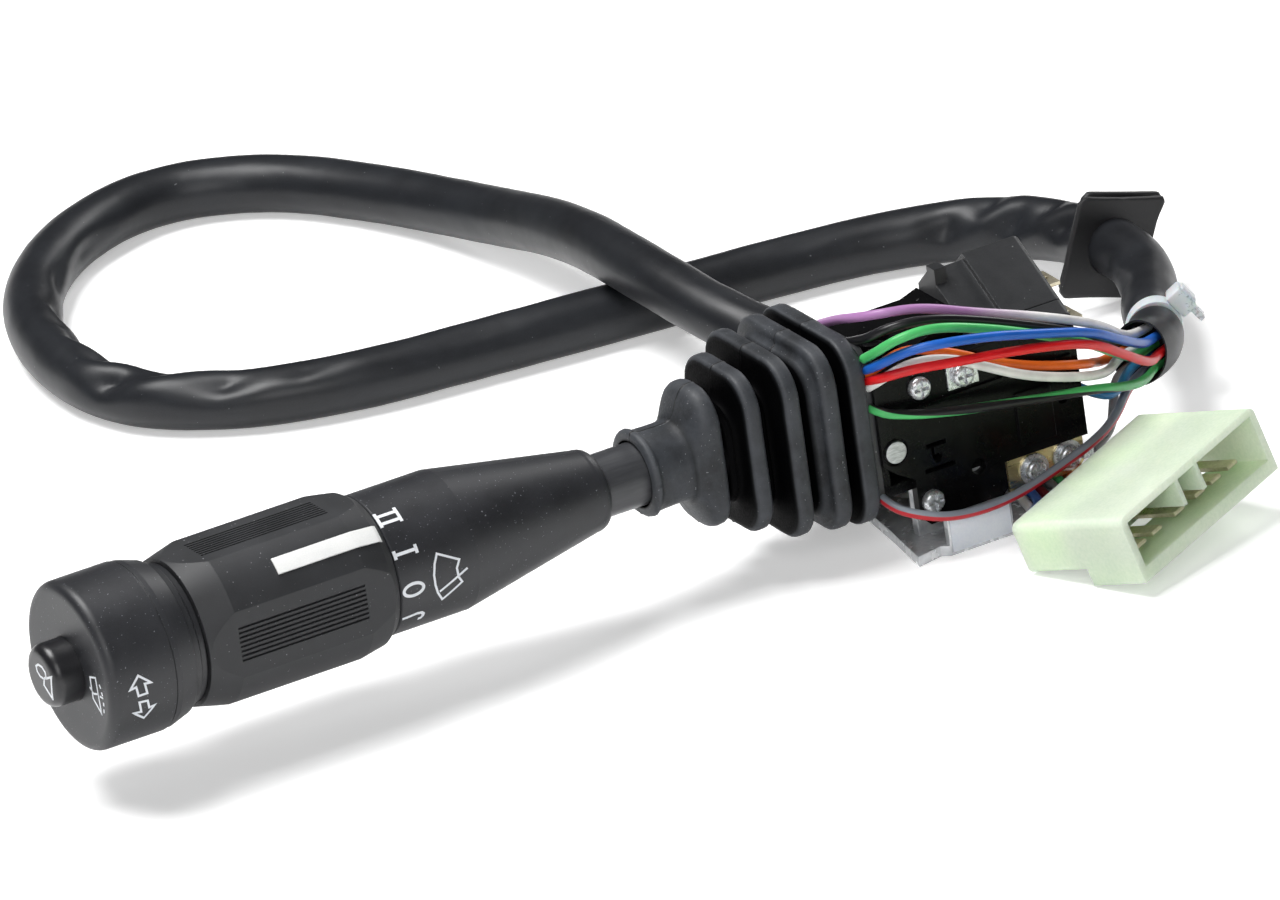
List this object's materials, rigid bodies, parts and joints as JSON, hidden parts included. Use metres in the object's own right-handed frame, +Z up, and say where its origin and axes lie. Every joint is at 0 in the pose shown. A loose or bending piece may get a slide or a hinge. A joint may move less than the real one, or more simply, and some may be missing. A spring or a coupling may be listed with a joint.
{
  "type": "combination stalk switch",
  "caption": "Steering column stalk switch: ribbed rotary sleeve, push cap and horn button on a lever, rubber bellows, open black housing, loose wires, sheath and a multi-way connector.",
  "frame": {"origin": "on the mounting bracket's underside, 18 mm behind the bellows flange's middle and straight below the lever's axis", "axes": "+X along the lever from its cap towards the housing, +Y away from the side that the connector lies on, +Z up"},
  "size_m": [0.2682, 0.296, 0.0493],
  "materials": {
    "black_plastic": "fine grained satin",
    "housing_plastic": "smooth",
    "rubber_boot": "matte, dusty",
    "pvc_sheath": "satin",
    "zinc_steel": "bright zinc",
    "chrome_steel": "bright",
    "spring_steel": "drawn",
    "brass_contact": "plated",
    "copper_contact": "bare",
    "white_print": "white",
    "label_paper": "satin",
    "nylon": "translucent natural",
    "nylon_tie": "translucent",
    "board": "phenolic",
    "wire_violet_white": "pvc",
    "wire_black": "pvc",
    "wire_green": "pvc",
    "wire_blue": "pvc",
    "wire_white": "pvc",
    "wire_red": "pvc",
    "wire_orange": "pvc",
    "wire_green_black": "pvc",
    "wire_grey_red": "pvc",
    "wire_grey": "pvc",
    "wire_light_blue": "pvc",
    "feeder_dark_red": "pvc"
  },
  "bodies": {
    "base": {"housing_main": "housing_plastic", "housing_front": "housing_plastic", "top_switch_block": "housing_plastic", "boot_plate": "housing_plastic", "detent_plate": "housing_plastic", "bellows": "rubber_boot", "grommet": "pvc_sheath", "sheath": "pvc_sheath", "mounting_bracket": "zinc_steel", "blank_label": "label_paper", "terminal_blades": "zinc_steel", "copper_strip": "copper_contact", "terminal_plate": "zinc_steel", "screws": "chrome_steel", "earth_strip": "zinc_steel", "ring_terminals": "zinc_steel", "pivot_rivet": "zinc_steel", "contact_board": "board", "contact_strips": "brass_contact", "cable_tie": "nylon_tie", "connector_housing": "nylon", "connector_tabs": "brass_contact", "wire_violet_white": "wire_violet_white", "wire_black": "wire_black", "wire_green": "wire_green", "wire_blue": "wire_blue", "wire_white": "wire_white", "wire_red": "wire_red", "wire_orange": "wire_orange", "wire_green_black": "wire_green_black", "wire_grey_red": "wire_grey_red", "wire_grey": "wire_grey", "wire_light_blue": "wire_light_blue", "feeder_white": "wire_white", "feeder_blue": "wire_blue", "feeder_dark_red": "feeder_dark_red", "feeder_grey": "wire_grey", "feeder_green": "wire_green", "feeder_orange": "wire_orange", "feeder_red": "wire_red"},
    "cradle": {"pivot_cradle": "housing_plastic", "dip_pin": "spring_steel", "dip_return_spring": "spring_steel", "detent_plunger": "spring_steel"},
    "slider": {"contact_slider": "housing_plastic"},
    "lever": {"lever_yoke": "zinc_steel", "lever_tube": "spring_steel", "lever_handle": "black_plastic", "cap_guide": "black_plastic", "detent_ball": "spring_steel"},
    "rotary": {"rotary_sleeve": "black_plastic", "index_bar": "white_print", "wiper_contact_ring": "brass_contact"},
    "cap": {"end_cap": "black_plastic", "horn_carrier": "black_plastic", "washer_spring": "spring_steel"},
    "button": {"horn_button": "black_plastic", "horn_spring": "spring_steel"}
  },
  "joints": [
    {"name": "turn_signal", "type": "hinge", "parent": "base", "child": "cradle", "pos_m": [-0.0119, 0, 0.0206], "axis": [0, 1, 0], "range_deg": [-11, 11], "deforming": ["bellows"]},
    {"name": "dip_flash", "type": "hinge", "parent": "cradle", "child": "lever", "pos_m": [-0.004, 0, 0.026], "axis": [0, 0, 1], "range_deg": [-7, 7], "stiffness_Nm_per_rad": 0.8, "deforming": ["bellows"]},
    {"name": "wiper_rotary", "type": "hinge", "parent": "lever", "child": "rotary", "pos_m": [-0.134, 0, 0.026], "axis": [-1, 0, 0], "range_deg": [-73, 13]},
    {"name": "washer_push", "type": "slide", "parent": "lever", "child": "cap", "axis": [1, 0, 0], "range_m": [0, 0.0025], "stiffness_N_per_m": 600, "deforming": ["washer_spring"]},
    {"name": "horn_push", "type": "slide", "parent": "cap", "child": "button", "axis": [1, 0, 0], "range_m": [0, 0.0025], "stiffness_N_per_m": 400, "deforming": ["horn_spring"]},
    {"name": "contact_slide", "type": "slide", "parent": "base", "child": "slider", "axis": [0, 0, 1], "range_m": [-0.0043, 0.0043]}
  ],
  "couplings": [
    {"joint": "contact_slide", "follows": "turn_signal", "m_per_rad": -0.022}
  ]
}
